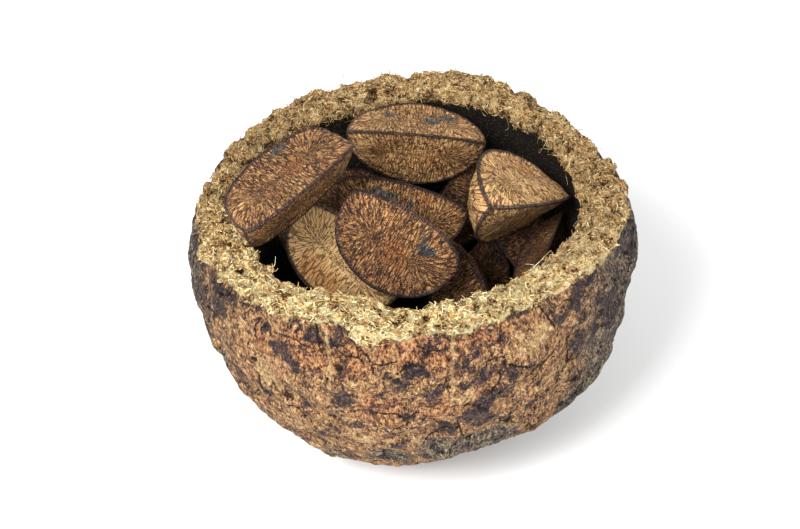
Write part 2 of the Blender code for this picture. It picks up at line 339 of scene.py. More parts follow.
frontLines = {
    "cracks": (
        ((281, 335), (290, 338), (298, 341), (303, 346), (309, 347)),
        ((335, 346), (340, 353), (346, 357), (354, 357), (362, 362)),
        ((259, 320), (254, 327), (255, 334)),
        ((257, 373), (260, 382), (267, 391)),
        ((272, 382), (275, 389), (281, 394), (285, 399)),
        ((281, 380), (284, 389), (289, 396)),
        ((290, 406), (299, 409), (305, 416), (310, 421)),
        ((372, 365), (384, 366), (395, 362)),
        ((500, 317), (501, 328), (500, 342)),
        ((536, 303), (545, 312), (552, 324)),
        ((512, 365), (522, 367), (535, 365)),
        ((554, 352), (543, 367), (535, 377)),
        ((567, 344), (569, 356), (567, 365)),
        ((602, 311), (598, 316), (594, 322)),
        ((486, 363), (495, 359), (504, 357)),
        ((492, 391), (498, 386), (501, 378), (500, 372)),
        ((457, 421), (461, 431), (464, 437)),
        ((498, 424), (515, 417), (530, 406), (541, 395)),
        ((507, 420), (527, 421), (538, 414)),
        ((495, 440), (515, 434), (533, 427)),
        ((420, 347), (430, 352), (440, 350)),
        ((404, 370), (412, 366), (420, 367)),
        ((455, 407), (470, 405), (486, 409)),
        ((560, 400), (571, 390), (580, 379)),
    ),
    "seams": (
        ((325, 328), (328, 345), (330, 365), (331, 388)),
        ((394, 343), (394, 364), (396, 380)),
        ((452, 328), (453, 350), (452, 375), (452, 407)),
    ),
}
podSurface = {
    "largePits": {"count": 80, "seed": 11, "lowest": -50 * mm, "highest": 6 * mm, "radius": 1.5 * mm},
    "smallPits": {"count": 170, "seed": 23, "lowest": -60 * mm, "highest": 12 * mm, "radius": 0.8 * mm},
    "smallPitSeed": 5,              # for the small pits' sizes
    "photoPitShare": 0.62,          # a pit's radius as a share of its reach in the photo
    "pitReach": 5 * mm,             # past which a pit's distance isn't measured
    "pitDepth": 0.9 * mm,
    "cracks": {
        "count": 90, "seed": 31, "lowest": -52 * mm, "highest": 10 * mm, "legs": (4, 8), "leg": 1.5 * mm,
    },
    "crackDepth": 0.45 * mm,
    "seamHeight": 0.3 * mm,
    "skinHeight": 0.22 * mm,
    "lineStep": 0.3 * mm,
    "reach": 3.0,                   # mm, past which a crack's distance isn't measured
    # bumps, each with its size, its height and its seed; the clumps and the spill are heights in mm
    "coarse": (3.2 * mm, 0.38 * mm, 2.0),
    "fine": (1.8 * mm, 0.24 * mm, 4.0),
    "ribs": (3.5 * mm, 0.22 * mm, 9.0),
    "lining": (1.5 * mm, 0.3 * mm, 12.0),
    "clumps": (2.6 * mm, 0.55, 6.0),
    "crumbs": (1.2 * mm, 0.45, 8.0),
    "spillEdge": (3 * mm, 0.25, 51.0),
}


def edgeHeight(angle):
    degrees = math.degrees(angle) % 360
    for (a, low), (b, high) in zip(pod["edgeHeights"], pod["edgeHeights"][1:]):
        if a <= degrees <= b:
            return (low + (high - low) * smoothStep(degrees, a, b)) * mm
    return pod["edgeHeights"][0][1] * mm


def podPoint(angle, depth, climb):
    # depth is 0 outside and 1 inside, climb is 0 at the pole and 1 at the broken edge
    outline = Vector((math.cos(angle), math.sin(angle), 0))
    lip = edgeHeight(angle) - pod["edgeFall"] * depth + pod["edgeRound"] * 4 * depth * (1 - depth)
    radius = pod["radius"] - pod["wall"] * depth
    first = math.asin(pod["firstRing"] / radius)
    last = math.pi / 2 + math.asin(lip / radius)
    swing = first + (last - first) * climb
    place = podCentre + outline * math.sin(swing) * radius + Vector((0, 0, -math.cos(swing) * radius))
    away = (place - podCentre).normalized()

    shift = relief(place, *pod["swell"])
    for way, width, height in pod["lumps"]:
        gap = (Vector(way).normalized() - away).length * pod["radius"] / width
        shift += height * math.exp(-gap * gap) * (1 - depth)
    torn = smoothStep(climb, 0.93, 1.0)
    degrees = math.degrees(angle) % 360
    thinner = sum(
        amount * math.exp(-((degrees - turn) / spread) ** 2) for turn, spread, amount in pod["thinWall"]
    )
    shift += thinner * depth * smoothStep(place.z - podCentre.z, -12 * mm, 4 * mm)
    shift -= pod["shoulderDraw"] * smoothStep(place.z - podCentre.z, 0.0, 16 * mm) * (1 - depth)
    shift += relief(place, *pod["outerBumps"]) * (1 - depth)
    shift += relief(place, *pod["innerBumps"]) * depth * (1 - torn)
    place += away * shift
    tear = Vector([relief(place, *pod["tear"], seed) for seed in pod["tearSeeds"]])
    place += tear * torn
    place.z = max(place.z, 0.0)
    return place


def spotsOn(tree, spots):
    # the points on the surface, with each one's reach in metres
    pixel = view["distance"] * view["sensor"] / view["lens"] / view["photoSize"][0]
    found = []
    for x, y, reach in spots:
        place = photoHit(tree, x, y)
        if place is not None:
            found.append((place, reach * pixel))
    return found


def linesOn(tree, paths):
    return [[photoHit(tree, x, y) for x, y in path] for path in paths]


def nearSpots(place, spots):
    return sum(math.exp(-((place - spot).length / reach) ** 2) for spot, reach in spots)


def randomSpots(form):
    draw = random.Random(form["seed"])
    for _ in range(form["count"]):
        turn = draw.uniform(0, 2 * math.pi)
        height = draw.uniform(form["lowest"], form["highest"])
        reach = math.sqrt(pod["radius"] ** 2 - height ** 2)
        yield podCentre + Vector((math.cos(turn) * reach, math.sin(turn) * reach, height))


def allPits(tree, photoPits):
    # each pit's place and radius
    large, small = podSurface["largePits"], podSurface["smallPits"]
    pits = [(tree.find_nearest(place)[0], large["radius"]) for place in randomSpots(large)]
    draw = random.Random(podSurface["smallPitSeed"])
    for place in randomSpots(small):
        pits.append((tree.find_nearest(place)[0], small["radius"] * draw.uniform(0.6, 1.5)))
    pits += [(place, reach * podSurface["photoPitShare"]) for place, reach in photoPits]
    return pits


def wanderingCracks(tree):
    # short bent lines all over the outside, most of them running up and down
    form = podSurface["cracks"]
    draw = random.Random(form["seed"])
    for start in randomSpots({**form, "seed": form["seed"] + 1}):
        place = tree.find_nearest(start)[0]
        away = (place - podCentre).normalized()
        level = Vector((0, 0, 1)).cross(away).normalized()
        lean = draw.gauss(0, 0.5) + draw.choice((0.0, 0.0, math.pi / 2))
        path = [place]
        for _ in range(draw.randint(*form["legs"])):
            lean += draw.gauss(0, 0.35)
            step = (away.cross(level) * math.cos(lean) + level * math.sin(lean)) * form["leg"]
            place = tree.find_nearest(place + step)[0]
            path.append(place)
        yield path


def lineTree(paths):
    # points a small step apart along the lines, and the way that each line runs there
    samples = []
    for path in paths:
        for start, end in zip(path, path[1:]):
            count = max(1, int((end - start).length / podSurface["lineStep"]))
            way = (end - start).normalized()
            samples += [(start.lerp(end, step / count), way) for step in range(count)]
    tree = KDTree(len(samples))
    for index, (place, _) in enumerate(samples):
        tree.insert(place, index)
    tree.balance()
    return tree, [way for _, way in samples]


def lineDistance(lines, place, normal):
    # distance across the line, with its side as the sign, and the plain distance, both in mm
    tree, ways = lines
    nearest, index, distance = tree.find(place)
    reach = podSurface["reach"]
    if distance > reach * mm:
        return reach, reach
    return (place - nearest).dot(ways[index].cross(normal)) / mm, distance / mm


def sortFaces(bm):
    # the operators leave the faces in another order on each run, so they are sorted by their corners
    bm.verts.index_update()
    count = len(bm.verts)

    def order(face):
        corners = [vert.index for vert in face.verts]
        return min(corners) * count + max(corners)

    bm.faces.sort(key=order)


def spinPod():
    # the plain wall: outside from the pole up, over the broken edge, and down the inside
    rows = pod["outerRows"], pod["edgeRows"], pod["innerRows"]
    stations = [(0.0, row / rows[0]) for row in range(rows[0] + 1)]
    stations += [(row / rows[1], 1.0) for row in range(1, rows[1])]
    stations += [(1.0, 1 - row / rows[2]) for row in range(rows[2] + 1)]

    bm = bmesh.new()
    layer = {name: bm.verts.layers.float.new(name) for name in (
        "depth", "climb", "torn", "clump", "skin", "pit", "crackSide", "crackNear", "seamSide", "seamNear",
        "pale", "rust", "grey", "front")}
    section = []
    for index, (depth, climb) in enumerate(stations):
        point = bm.verts.new((pod["radius"], 0, index * mm))
        point[layer["depth"]] = depth
        point[layer["climb"]] = climb
        section.append(point)
    edges = [bm.edges.new(pair) for pair in zip(section, section[1:])]
    bmesh.ops.spin(bm, geom=section + edges, cent=(0, 0, 0), axis=(0, 0, 1), angle=2 * math.pi,
                   steps=pod["steps"], use_merge=True)
    bmesh.ops.holes_fill(bm, edges=[edge for edge in bm.edges if edge.is_boundary], sides=0)
    sortFaces(bm)
    for vert in bm.verts:
        vert.co = podPoint(math.atan2(vert.co.y, vert.co.x), vert[layer["depth"]], vert[layer["climb"]])
    bmesh.ops.recalc_face_normals(bm, faces=bm.faces[:])
    print("pod wall spun")
    return bm, layer


def buildPod(material):
    bm, layer = spinPod()
    tree = BVHTree.FromBMesh(bm)
    marks = {name: spotsOn(tree, spots) for name, spots in frontSpots.items()}
    pits = allPits(tree, marks["pits"])
    pitTree = KDTree(len(pits))
    for index, (place, _) in enumerate(pits):
        pitTree.insert(place, index)
    pitTree.balance()
    cracks = lineTree(linesOn(tree, frontLines["cracks"]) + list(wanderingCracks(tree)))
    seams = lineTree(linesOn(tree, frontLines["seams"]))

    bm.normal_update()
    shifts = []
    for vert in bm.verts:
        place = vert.co
        depth = vert[layer["depth"]]
        torn = smoothStep(vert[layer["climb"]], 0.985, 1.0)
        outside = 1 - smoothStep(depth, 0.0, 0.2)
        front = smoothStep(-place.y, -35 * mm, 45 * mm)
        side = smoothStep(abs(place.x), 42 * mm, 60 * mm)
        high = smoothStep(place.z - podCentre.z, -14 * mm, 8 * mm)
        # the skin is painted on thicker towards the sides and the back: partly the pod's own dark skin,
        # partly painted shade where the wall turns away from the light
        skin = 0.85 * noise.fractal(place / (7 * mm), 0.8, 2.0, 3) - 0.30 + 0.28 * side
        skin += 0.12 * (1 - front)
        pit = 3.0
        crackSide = crackNear = seamSide = seamNear = podSurface["reach"]
        if outside > 0 or torn > 0:
            for _, index, distance in pitTree.find_range(place, podSurface["pitReach"]):
                pit = min(pit, distance / pits[index][1])
        if outside > 0:
            spill = nearSpots(place, marks["spill"]) + relief(place, *podSurface["spillEdge"])
            torn = max(torn, smoothStep(spill, 0.45, 0.75))
            skin += 0.95 * nearSpots(place, marks["skin"])
            pale = nearSpots(place, marks["pale"])
            skin -= 0.7 * pale
            vert[layer["pale"]] = pale
            vert[layer["rust"]] = nearSpots(place, marks["rust"])
            # greyer towards the bottom, the sides and the back: the grey spots are the pod's own weathered
            # skin, the rest is painted shade
            low = smoothStep(podCentre.z - place.z, 24 * mm, 50 * mm) * smoothStep(place.x, -20 * mm, 30 * mm)
            flankShade = smoothStep(place.x, 30 * mm, 60 * mm) + smoothStep(-place.x, 54 * mm, 62 * mm)
            grey = nearSpots(place, marks["grey"]) + 0.45 * low + 0.5 * flankShade + 0.35 * (1 - front)
            vert[layer["grey"]] = grey
            crackSide, crackNear = lineDistance(cracks, place, vert.normal)
            seamSide, seamNear = lineDistance(seams, place, vert.normal)
        fine = relief(place, *podSurface["coarse"]) + relief(place, *podSurface["fine"])
        upright = Vector((place.x, place.y, place.z * 0.3))
        fine += relief(upright, *podSurface["ribs"]) * high
        fine += podSurface["skinHeight"] * smoothStep(skin, 0.0, 0.25)
        fine -= podSurface["pitDepth"] * (1 - smoothStep(pit, 0.3, 1.15))
        fine -= podSurface["crackDepth"] * (1 - smoothStep(crackNear, 0.2, 0.9))
        fine += podSurface["seamHeight"] * (1 - smoothStep(seamNear, 0.3, 1.2))
        clump = relief(place, *podSurface["clumps"]) + relief(place, *podSurface["crumbs"])
        clump -= 1.6 * (1 - smoothStep(pit, 0.4, 1.1))
        lining = relief(place, *podSurface["lining"])
        values = {
            "torn": torn, "clump": clump, "skin": skin, "pit": pit, "front": front, "crackSide": crackSide,
            "crackNear": crackNear, "seamSide": seamSide, "seamNear": seamNear,
        }
        for name, value in values.items():
            vert[layer[name]] = value
        shifts.append(fine * outside * (1 - torn) + clump * mm * torn + lining * depth * (1 - torn))
    for vert, shift in zip(bm.verts, shifts):
        vert.co = insideBox(vert.co + vert.normal * shift)
    return finishMesh("husk", bm, material, ["pod_shell"])


def huskMaterial():
    material, tree, shader, place = newMaterial("huskWood")
    torn = measured(tree, "torn")
    depth = measured(tree, "depth")
    skinField = measured(tree, "skin")
    front = measured(tree, "front")

    # fibrous brown body, finer along the wall than across it
    upright = stretched(tree, place, (1, 1, 0.6))
    fine = grain(tree, upright, 0.8 * mm, 6, 0.8, 0.5)
    speckle = grain(tree, place, 0.5 * mm, 3, 0.7)
    broad = grain(tree, place, 6 * mm, 3, 0.6)
    patchy = grain(tree, place, 2.6 * mm, 3, 0.6, 0.6)
    level = plus(tree, fine, bothWays(tree, patchy, 0.30))
    wood = ramp(tree, level, (
        (0.38, 28, 19, 17), (0.43, 90, 62, 47), (0.50, 157, 114, 76), (0.57, 190, 150, 104),
        (0.65, 224, 198, 150),
    ))
    straw = ramp(tree, level, (
        (0.32, 62, 44, 28), (0.42, 138, 106, 68), (0.52, 190, 158, 108), (0.66, 226, 208, 164),
    ))
    rusty = ramp(tree, level, (
        (0.38, 38, 23, 18), (0.44, 104, 64, 46), (0.51, 168, 114, 73), (0.62, 212, 168, 117),
    ))
    grey = ramp(tree, level, (
        (0.40, 14, 19, 24), (0.45, 44, 52, 56), (0.52, 98, 94, 84), (0.61, 170, 156, 126),
    ))
    paleShare = band(tree, plus(tree, measured(tree, "pale"), times(tree, patchy, 1.1)), 0.75, 1.35)
    rustShare = band(tree, plus(tree, measured(tree, "rust"), times(tree, broad, 0.8)), 0.45, 1.1)
    # the grey share holds the grey skin and also painted shade towards the bottom, the sides and the back
    greyShare = band(tree, plus(tree, measured(tree, "grey"), times(tree, patchy, 0.8)), 0.5, 0.95)
    colour = mixColour(tree, rustShare, wood, rusty)
    colour = mixColour(tree, times(tree, paleShare, 0.8), colour, straw)
    colour = mixColour(tree, times(tree, greyShare, 0.85), colour, grey)

    # purple-brown mottles, and the dark skin left on in ragged patches, laid on more thickly towards the
    # sides and the back as painted shade
    mottles = band(tree, grain(tree, place, 1.9 * mm, 5, 0.72, 0.4), 0.53, 0.60)
    bruised = ramp(tree, level, ((0.40, 34, 24, 26), (0.50, 96, 66, 60), (0.62, 160, 122, 96)))
    colour = mixColour(tree, times(tree, mottles, 0.7), colour, bruised)
    ragged = bothWays(tree, grain(tree, place, 1.5 * mm, 6, 0.8, 0.5), 4.2)
    skin = band(tree, plus(tree, skinField, ragged), 0.02, 0.16)
    skinTone = ramp(tree, grain(tree, place, 1.3 * mm, 5, 0.75), (
        (0.40, 8, 16, 26), (0.47, 22, 24, 36), (0.53, 44, 31, 38), (0.60, 96, 70, 62),
    ))
    skinTone = mixColour(tree, band(tree, fine, 0.54, 0.62), skinTone, tone(146, 108, 80))
    skinTone = mixColour(tree, band(tree, speckle, 0.46, 0.40), skinTone, tone(8, 8, 12))
    colour = mixColour(tree, times(tree, skin, 0.95), colour, skinTone)

    # pale seams, and cracks and pits painted dark as painted shade
    wiggle = bothWays(tree, grain(tree, place, 1.3 * mm, 3, 0.6), 1.3)
    seamSide = maths(tree, "ABSOLUTE", plus(tree, measured(tree, "seamSide"), wiggle))
    seam = times(tree, band(tree, seamSide, 0.75, 0.25), band(tree, measured(tree, "seamNear"), 1.6, 0.9))
    colour = mixColour(tree, times(tree, seam, 0.6), colour, straw)
    crackSide = maths(tree, "ABSOLUTE", plus(tree, measured(tree, "crackSide"), wiggle))
    crack = times(tree, band(tree, crackSide, 0.34, 0.10), band(tree, measured(tree, "crackNear"), 1.3, 0.8))
    web = cells(tree, addWobble(tree, place, 2.2 * mm, 2.6 * mm), 5 * mm)
    threads = band(tree, grain(tree, place, 3.5 * mm, 2), 0.60, 0.67)
    thread = times(tree, band(tree, web, 0.05, 0.01), threads)
    pitField = plus(tree, measured(tree, "pit"), times(tree, ragged, 0.6))
    pit = band(tree, pitField, 0.80, 0.55)
    ring = times(tree, band(tree, pitField, 1.35, 1.05), band(tree, patchy, 0.48, 0.60))
    colour = mixColour(tree, times(tree, ring, 0.4), colour, straw)
    hollowShadeAndFlecks = maths(tree, "MAXIMUM", maths(tree, "MAXIMUM", crack, thread), pit)
    fleck = band(tree, grain(tree, place, 1.0 * mm, 4, 0.7), 0.38, 0.34)
    hollowShadeAndFlecks = maths(tree, "MAXIMUM", hollowShadeAndFlecks, times(tree, fleck, 0.8))
    hollowShadeAndFlecks = times(tree, hollowShadeAndFlecks, 0.92)
    # painted shade in the cracks and pits, together with the dark threads and flecks of the wood
    colour = mixColour(tree, hollowShadeAndFlecks, colour, tone(22, 16, 15))

    # torn edge, with painted shade in the gaps between its crumbs, and the lining, painted dark with painted
    # shade
    clump = measured(tree, "clump")
    crumbs = grain(tree, place, 0.8 * mm, 6, 0.78, 0.8)
    # darker where the crumbs and clumps lie low: painted shade in the gaps of the torn edge
    tornLevelAndShade = plus(tree, crumbs, times(tree, clump, 0.15))
    khaki = ramp(tree, tornLevelAndShade, (
        (0.38, 28, 18, 12), (0.45, 104, 72, 40), (0.50, 174, 138, 86), (0.60, 222, 200, 148),
    ))
    cream = ramp(tree, tornLevelAndShade, (
        (0.37, 34, 20, 12), (0.43, 136, 86, 42), (0.47, 206, 176, 116), (0.58, 240, 228, 178),
    ))
    tornTone = mixColour(tree, band(tree, front, 0.55, 1.0), khaki, cream)
    edge = band(tree, plus(tree, torn, times(tree, ragged, 0.4)), 0.35, 0.55)
    colour = mixColour(tree, edge, colour, tornTone)
    # the lining is painted almost black: partly its own dark brown, partly painted shade inside the pod
    liningShadeTone = ramp(tree, grain(tree, place, 0.6 * mm, 4, 0.7), (
        (0.42, 10, 8, 6), (0.56, 36, 28, 20), (0.66, 84, 68, 46), (0.76, 140, 118, 82),
    ))
    liningShadeShare = times(tree, band(tree, depth, 0.90, 0.99), band(tree, torn, 0.5, 0.05))
    colour = mixColour(tree, liningShadeShare, colour, liningShadeTone)
    tree.links.new(colour, shader.inputs["Base Color"])

    # the skin is a little smoother than the wood
    tree.links.new(minus(tree, 0.92, times(tree, skin, 0.30)), shader.inputs["Roughness"])
    shader.inputs["Specular IOR Level"].default_value = 0.2
    height = plus(tree, times(tree, fine, 0.9), times(tree, speckle, 0.5))
    height = plus(tree, height, times(tree, skin, 0.25))
    height = minus(tree, height, times(tree, hollowShadeAndFlecks, 0.8))
    height = plus(tree, height, times(tree, times(tree, crumbs, edge), 1.6))
    setBump(tree, shader, height, 1.3 * mm)
    return material


husk = buildPod(huskMaterial())
print("husk built", len(husk.data.polygons))


# Fibres of the torn edge

fibres = {
    "pieces": 3,
    "perPiece": 3300,
    "length": (0.9 * mm, 2.3 * mm),
    "radius": (0.10 * mm, 0.21 * mm),
    "joints": 5,
    "bend": 0.55,                   # radians of turn at each joint, the same way along a whole fibre
    "stray": 0.25,                  # and at random
    "lift": 0.02,                   # how steeply a fibre leaves the surface
    "least": 0.70,                  # how torn the surface must be where a fibre starts
    "seed": 71,
}
looseFibres = {
    "count": 330,
    "length": (3 * mm, 7 * mm),
    "radius": (0.06 * mm, 0.11 * mm),
    "joints": 7,
    "bend": 0.10,
    "stray": 0.16,
    "lift": 0.22,
    "least": 0.92,
    "seed": 72,
}


def tornPlaces(mesh, count, draw, least, wanted=None):
    # places on the torn face of the husk, most of them on its clumps
    torn = mesh.attributes["torn"].data
    clump = mesh.attributes["clump"].data
    faces, weights = [], []
    for face in mesh.polygons:
        corner = face.vertices[0]
        if torn[corner].value > least:
            weight = face.area * (0.12 + smoothStep(clump[corner].value, -0.35, 0.35))
            if wanted:
                weight *= wanted(face.center)
            faces.append(face)
            weights.append(weight)
    for face in draw.choices(faces, weights=weights, k=count):
        corners = [mesh.vertices[index].co for index in face.vertices]
        first = corners[0].lerp(corners[1], draw.random())
        second = corners[-1].lerp(corners[-2], draw.random())
        yield first.lerp(second, draw.random()), face.normal.copy()


def strandPoints(start, normal, form, draw):
    length = draw.uniform(*form["length"])
    side = normal.orthogonal().normalized()
    side.rotate(Matrix.Rotation(draw.uniform(0, 2 * math.pi), 3, normal))
    # none stick out over the outer or the inner edge
    outward = Vector((start.x, start.y, 0))
    beyond = side.dot(outward.normalized())
    if (beyond > 0) == (outward.length > pod["radius"] - 0.5 * pod["wall"]):
        side = side - outward.normalized() * 0.9 * beyond
    way = (side + normal * form["lift"] * draw.uniform(-0.6, 2.0)).normalized()
    bend = draw.choice((-1, 1)) * form["bend"] * draw.uniform(0.3, 1.6)
    place = start + normal * draw.uniform(-0.12, 0.06) * mm
    points = [place.copy()]
    for _ in range(form["joints"] - 1):
        place = place + way * length / (form["joints"] - 1)
        points.append(insideBox(place.copy(), 0.3 * mm))
        way.rotate(Matrix.Rotation(bend + draw.gauss(0, form["stray"]), 3, normal))
        rise = way.dot(normal)
        way = (way + normal * (draw.gauss(0, 0.16) - 0.5 * rise)).normalized()
    return points


def buildStrands(name, strands, form, draw, material):
    # strands is a list of (points, tone); the curve becomes a mesh with the tone on its vertices
    curve = bpy.data.curves.new(name, "CURVE")
    curve.dimensions = "3D"
    curve.bevel_depth = 1.0
    curve.bevel_resolution = 0
    curve.use_fill_caps = True
    for points, _ in strands:
        spline = curve.splines.new("POLY")
        spline.points.add(len(points) - 1)
        thick = draw.uniform(*form["radius"])
        for index, (point, place) in enumerate(zip(spline.points, points)):
            point.co = (*place, 1)
            point.radius = thick * (1 - 0.5 * index / (len(points) - 1))
    tube = bpy.data.objects.new(name, curve)
    bpy.context.scene.collection.objects.link(tube)
    bpy.context.view_layer.update()
    mesh = bpy.data.meshes.new_from_object(tube.evaluated_get(bpy.context.evaluated_depsgraph_get()))
    bpy.data.objects.remove(tube)
    perStrand = len(mesh.vertices) // len(strands)
    tones = mesh.attributes.new("strandTone", "FLOAT", "POINT")
    values = [shade for _, shade in strands for _ in range(perStrand)]
    tones.data.foreach_set("value", values)
    print(name, len(strands), "strands", perStrand, "vertices each")
    return finishPiece(name, mesh, material)


paleSide = Vector((-0.4, -0.9, 0))      # the torn edge is palest towards here


def strandShade(place, draw):
    # 0 dark brown, 0.5 straw, 1 cream; the front is palest and the back the dullest
    front = smoothStep(place.dot(paleSide), 0, 55 * mm)
    patch = relief(place, 6 * mm, 0.16, 41.0) + relief(place, 2.2 * mm, 0.14, 43.0)
    return min(1.0, max(0.0, draw.gauss(0.38 + 0.24 * front + patch, 0.19)))


def moreAtBack(place):
    # long loose fibres: plenty at the back of the pod, few in front
    return 0.25 + smoothStep(place.y, -20 * mm, 30 * mm)


def buildFibres(material):
    draw = random.Random(fibres["seed"])
    mesh = husk.data
    for number in range(fibres["pieces"]):
        strands = []
        for start, normal in tornPlaces(mesh, fibres["perPiece"], draw, fibres["least"]):
            strands.append((strandPoints(start, normal, fibres, draw), strandShade(start, draw)))
        buildStrands(f"rim_fibres_{number + 1}", strands, fibres, draw, material)
    draw = random.Random(looseFibres["seed"])
    strands = []
    for start, normal in tornPlaces(mesh, looseFibres["count"], draw, looseFibres["least"], moreAtBack):
        shade = min(1.0, strandShade(start, draw) + 0.2)
        strands.append((strandPoints(start, normal, looseFibres, draw), shade))
    buildStrands("loose_fibres", strands, looseFibres, draw, material)


def fibreMaterial():
    material, tree, shader, place = newMaterial("tornFibre")
    forward = addNode(tree, "ShaderNodeVectorMath", {0: place, 1: tuple(paleSide)}, operation="DOT_PRODUCT")
    front = band(tree, forward.outputs["Value"], 0.0, 50 * mm)
    shade = measured(tree, "strandTone")
    khaki = ramp(tree, shade, (
        (0.05, 72, 50, 28), (0.30, 146, 112, 68), (0.55, 186, 154, 104),
        (0.75, 212, 186, 136), (0.95, 232, 212, 170),
    ))
    straw = ramp(tree, shade, (
        (0.05, 110, 66, 30), (0.30, 186, 140, 78), (0.50, 222, 196, 132),
        (0.70, 240, 226, 172), (0.92, 250, 244, 208),
    ))
    colour = mixColour(tree, front, khaki, straw)
    mottle = grain(tree, place, 1.6 * mm, 3, 0.6)
    colour = mixColour(tree, band(tree, mottle, 0.47, 0.38), colour, tone(138, 88, 42))
    tree.links.new(colour, shader.inputs["Base Color"])
    shader.inputs["Roughness"].default_value = 0.85
    shader.inputs["Specular IOR Level"].default_value = 0.25
    return material


buildFibres(fibreMaterial())
print("fibres built")


# Nuts

# The way each nut points, its keel, its length, height and thickness in mm, and how blunt its ends are. Then
# how tan it is, with painted light in that on nut_front_left, and its orange and slate spots by their point
# in the photo and their reach in pixels.
nuts = {
    "nut_left": {
        "long": (0.7, 0.64, 0.28), "keel": (0.44, -0.72, 0.53), "size": (39.5, 26, 20.5), "blunt": 0.5,
        "tanAndLight": 0.50, "fine": True, "orange": ((290, 169, 12), (297, 160, 8)),
        "slate": ((275, 153, 5), (283, 147, 6), (256, 150, 5), (326, 205, 6), (338, 175, 5), (345, 190, 5)),
    },
    "nut_back": {
        "long": (0.99, 0.0, -0.1), "keel": (0.0, -0.74, 0.67), "size": (40, 25.5, 22.5), "blunt": 1.05,
        "tanAndLight": 0.72, "fine": True, "orange": ((430, 160, 10), (380, 150, 10)),
        "slate": ((430, 121, 14), (448, 118, 8), (390, 115, 6), (470, 143, 4), (400, 178, 3)),
    },
    "nut_right": {
        "long": (0.6, 0.7, -0.4), "keel": (0.82, -0.5, 0.25), "size": (37, 26.5, 26), "blunt": 1.1,
        "tanAndLight": 0.90, "fine": True, "orange": ((525, 170, 12),), "slate": ((540, 215, 3),),
    },
    "nut_behind": {
        "long": (0.97, -0.15, -0.2), "keel": (0.18, -0.14, 0.97), "size": (38, 22, 19), "tanAndLight": 0.55,
        "fine": True, "orange": ((425, 200, 6),), "slate": ((375, 195, 8), (390, 199, 8), (410, 203, 5)),
    },
    "nut_front": {
        "long": (0.84, -0.34, -0.44), "keel": (0.47, 0.02, 0.88), "size": (36, 27, 20), "tanAndLight": 0.42,
        "fine": True, "orange": ((392, 250, 14), (397, 262, 9)),
        "slate": ((421, 250, 6), (430, 253, 5), (425, 240, 4)),
    },
    # painted light: this nut is made much paler than the others so that it looks lit where it lies in shade
    "nut_front_left": {
        "long": (0.75, -0.4, -0.52), "keel": (0.55, -0.06, 0.83), "size": (38, 26, 19), "tanAndLight": 1.25,
        "fine": True, "orange": ((310, 265, 16), (330, 285, 14)),
    },
    "nut_front_right": {
        "long": (0.55, -0.5, -0.66), "keel": (-0.81, -0.5, -0.28), "size": (30, 19, 16), "tanAndLight": 0.42,
    },
    "nut_right_wall": {
        "long": (-0.3, -0.95, -0.03), "keel": (0.3, -0.1, 0.95), "size": (34, 15, 12), "tanAndLight": 0.35,
        "orange": ((545, 255, 10),),
    },
    "nut_back_low": {"long": (0.5, 0.3, 0.8), "keel": (-0.6, -0.7, 0.5), "size": (36, 20, 18), "tanAndLight": 0.35},
    "nut_front_low": {"long": (0.98, 0.1, -0.1), "keel": (0.1, 0.2, 0.95), "size": (38, 20, 19), "tanAndLight": 0.3},
    "nut_deep_right": {"long": (0.8, 0.5, 0.1), "keel": (-0.5, 0.7, 0.5), "size": (34, 17, 16), "tanAndLight": 0.3},
    "nut_hidden_left": {"long": (0.55, -0.8, 0.1), "keel": (0.8, 0.3, 0.4), "size": (34, 17, 16), "tanAndLight": 0.3},
    "nut_hidden_right": {
        "long": (-0.4, 0.6, 0.3), "keel": (-0.7, -0.5, 0.4), "size": (34, 18, 17), "tanAndLight": 0.3,
    },
    "nut_hidden_back": {"long": (0.8, 0.6, 0.1), "keel": (0.5, -0.7, 0.2), "size": (38, 21, 20), "tanAndLight": 0.3},
}
nutSurface = {
    "keel": -0.28,                  # corners of the section, as shares of the nut's height
    "corner": 0.48,
    "blunt": 0.8,
    "lipOut": 1.035,                # how far the ridges of the frame's nuts stand out already
    "onRidge": 1.4 * mm,            # a vertex this near to a corner of the section is on the ridge
    "fineLevels": 3,
    "plainLevels": 2,
    "lip": 0.36 * mm,               # how far the ridge stands up
    "lipWidth": 0.65,               # mm
    "groove": 0.14 * mm,            # and the dip beside it
    "crease": 0.85,
    "turnRadius": 6.0,              # mm, for the strokes that fan out round a nut's ends
    "wrinkle": (0.9, 2.8),          # mm, across and along a stroke
    "wrinkleDepth": 0.13 * mm,
    # bumps, each with its size and its height
    "pimples": (0.9 * mm, 0.10 * mm),
    "dents": (4 * mm, 0.22 * mm),
    "waves": (2.2 * mm, 0.10 * mm),
}


def floorNut(name):
    # the floor nuts stand round the pod like slices of an orange
    low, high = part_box(name)
    out = ((low + high) / 2 - podCentre).normalized()
    level = Vector((0, 0, 1)).cross(out)
    return {"long": out.cross(level), "keel": -out, "size": (36, 20, 20), "tanAndLight": 0.3}


def nutForm(bm, look):
    # the nut's own directions and section; its ends are the two vertices where all the lengthwise edges meet
    ends = sorted(bm.verts, key=lambda vert: len(vert.link_edges))[-2:]
    first, second = (end.co.copy() for end in ends)
    long = (second - first).normalized()
    if long.dot(Vector(look["long"])) < 0:
        long = -long
    up = -Vector(look["keel"])
    up = (up - long * up.dot(long)).normalized()
    _, height, thickness = (side * mm for side in look["size"])
    return {
        "turn": Matrix((long, up.cross(long), up)),
        "middle": (first + second) / 2,
        "half": (second - first).length / 2,
        "blunt": look.get("blunt", nutSurface["blunt"]),
        "corners": (
            Vector((thickness / 2, nutSurface["corner"] * height)),
            Vector((-thickness / 2, nutSurface["corner"] * height)),
            Vector((0, nutSurface["keel"] * height)),
        ),
    }


